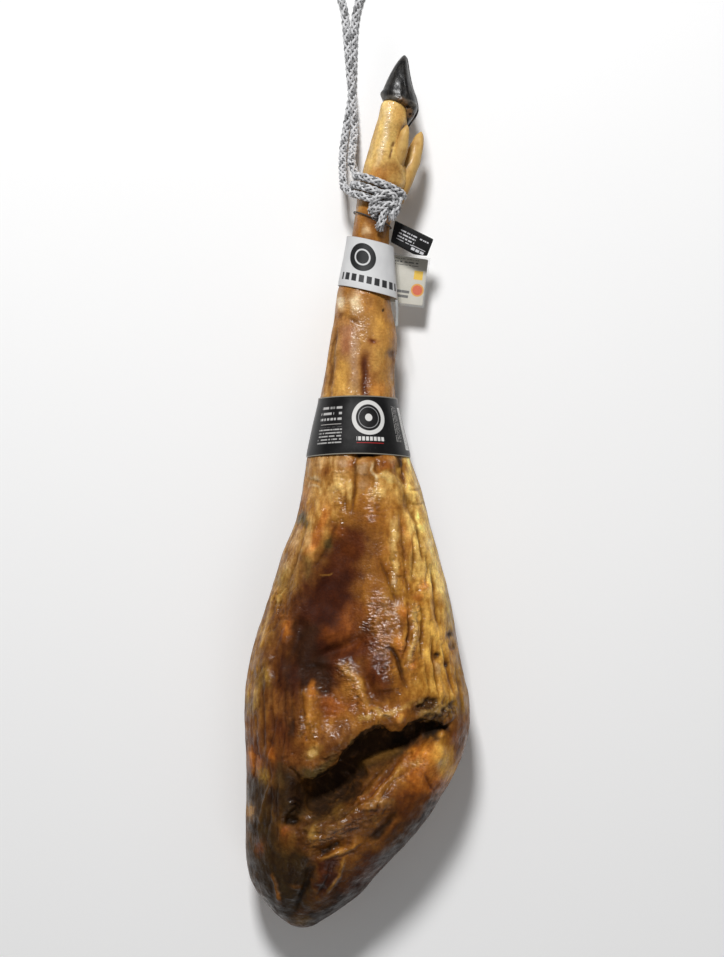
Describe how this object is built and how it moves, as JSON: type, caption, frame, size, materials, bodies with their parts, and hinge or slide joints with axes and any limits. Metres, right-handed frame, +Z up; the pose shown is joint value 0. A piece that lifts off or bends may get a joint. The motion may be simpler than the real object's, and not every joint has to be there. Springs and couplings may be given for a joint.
{
  "type": "cured ham",
  "caption": "Whole bone-in cured ham leg with hoof, lying on its skin side, with a doubled rope loop tied round the shank, two label bands, a hang tag and a pouched card.",
  "frame": {"origin": "on the resting surface, under the middle of the ham's own box without its free rope loop", "axes": "+Y from the rump to the hoof, +Z up through the meat side, +X to the heel side of the leg"},
  "size_m": [0.2199, 0.9759, 0.1283],
  "materials": {
    "cured_meat": "oily cured rind and dried muscle: golden brown, glossy where fat has melted over it",
    "hoof_horn": "near-black horn with a low polish and a worn pale rim",
    "amber_horn": "amber skin over small horn tips, satin",
    "white_card": "white coated card, satin",
    "black_card": "black laminated card, glossy",
    "beige_card": "pale beige printed card, matt",
    "clear_film": "thin clear plastic film",
    "braided_rope": "braided synthetic cord in white, grey and near-black yarns",
    "black_cord": "thin dark elastic cord",
    "grey_plastic": "plain grey plastic strap"
  },
  "bodies": {
    "root": {"ham_leg": "cured_meat", "hoof_claw_upper": "hoof_horn", "hoof_claw_lower": "hoof_horn", "dewclaw_upper": "amber_horn", "dewclaw_lower": "amber_horn", "white_sleeve": "white_card", "black_band": "black_card", "rope_loop": "braided_rope", "rope_wrap_upper": "braided_rope", "rope_wrap_lower": "braided_rope", "rope_knot": "braided_rope", "tag_cord": "black_cord", "black_tag": "black_card", "info_card": "beige_card", "clear_pouch": "clear_film", "seal_strap": "grey_plastic"}
  },
  "joints": []
}
